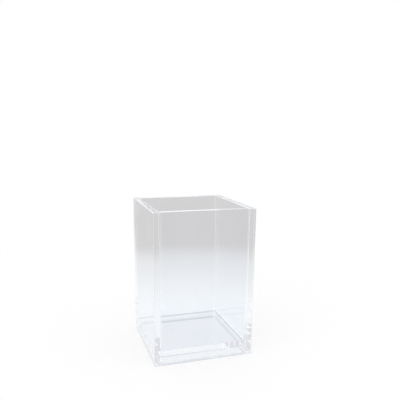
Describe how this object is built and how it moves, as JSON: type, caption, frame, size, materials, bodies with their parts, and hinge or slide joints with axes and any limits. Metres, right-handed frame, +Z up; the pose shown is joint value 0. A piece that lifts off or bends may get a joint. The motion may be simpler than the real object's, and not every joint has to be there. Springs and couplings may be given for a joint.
{
  "type": "pen holder",
  "caption": "Open-topped square desk cup of clear acrylic sheet with polished edges, its base set a little above the table between the four walls, for holding pens, pencils or brushes upright.",
  "frame": {"origin": "middle of the footprint, on the plane the cup stands on", "axes": "+Z up towards the rim, -Y towards the front wall, +X towards the right wall"},
  "size_m": [0.075, 0.075, 0.112],
  "materials": {
    "clear_acrylic": "polished"
  },
  "bodies": {
    "root": {"front_wall": "clear_acrylic", "back_wall": "clear_acrylic", "left_wall": "clear_acrylic", "right_wall": "clear_acrylic", "base_plate": "clear_acrylic"}
  },
  "joints": []
}
